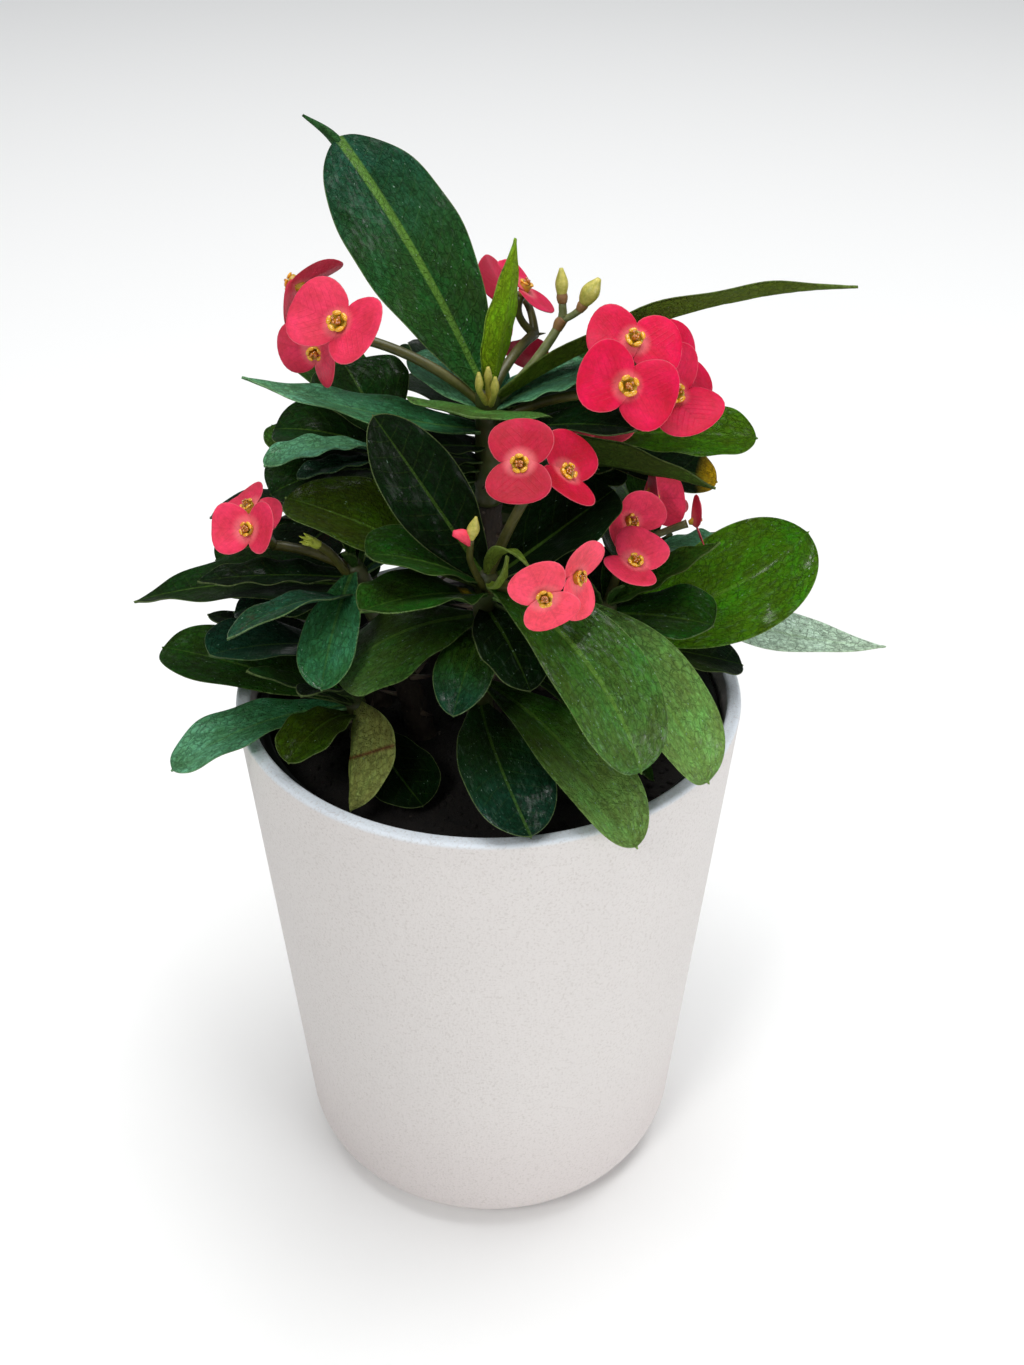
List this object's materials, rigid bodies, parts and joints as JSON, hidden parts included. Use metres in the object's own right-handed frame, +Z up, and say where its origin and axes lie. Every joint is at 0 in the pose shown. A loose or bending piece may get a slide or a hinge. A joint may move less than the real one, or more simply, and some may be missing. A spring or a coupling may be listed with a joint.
{
  "type": "potted crown of thorns plant",
  "caption": "Potted crown of thorns plant: thorny stems with spoon-shaped leaves and pink two-bract flowers, in a tapered white cover pot with a rounded foot.",
  "frame": {"origin": "centre of the cover pot's flat base, on the surface the pot stands on", "axes": "+Z up along the pot's axis; the side with the open view onto the soil faces -Y"},
  "size_m": [0.223, 0.1815, 0.3297],
  "materials": {
    "cover_pot": "matte, fine sandy grain",
    "grow_pot": "satin black",
    "soil": "crumbly potting soil",
    "stem": "dark grey-brown bark with pale thorns",
    "crown": "glossy green leaves with a pale midrib",
    "bloom": "satin pink bracts round a yellow cup"
  },
  "bodies": {
    "root": {"cover_pot": "cover_pot", "grow_pot": "grow_pot", "soil": "soil", "stem_m": "stem", "crown_m": "crown", "stem_a": "stem", "crown_a": "crown", "stem_b": "stem", "crown_b": "crown", "stem_c": "stem", "crown_c": "crown", "stem_j": "stem", "crown_j": "crown", "stem_d": "stem", "crown_d": "crown", "stem_e": "stem", "crown_e": "crown", "stem_f": "stem", "crown_f": "crown", "stem_g": "stem", "crown_g": "crown", "stem_h": "stem", "crown_h": "crown", "stem_i": "stem", "crown_i": "crown", "bloom_01": "bloom", "bloom_02": "bloom", "bloom_03": "bloom", "bloom_04": "bloom", "bloom_05": "bloom", "bloom_06": "bloom", "bloom_07": "bloom", "bloom_08": "bloom", "bloom_09": "bloom", "bloom_10": "bloom", "bloom_11": "bloom", "bloom_12": "bloom", "bloom_13": "bloom", "bloom_14": "bloom", "bloom_15": "bloom", "bloom_16": "bloom", "bloom_17": "bloom", "bloom_18": "bloom", "bloom_19": "bloom", "bloom_20": "bloom", "bloom_21": "bloom", "bloom_22": "bloom", "bloom_23": "bloom", "bloom_24": "bloom", "bloom_25": "bloom", "bloom_26": "bloom"}
  },
  "joints": []
}
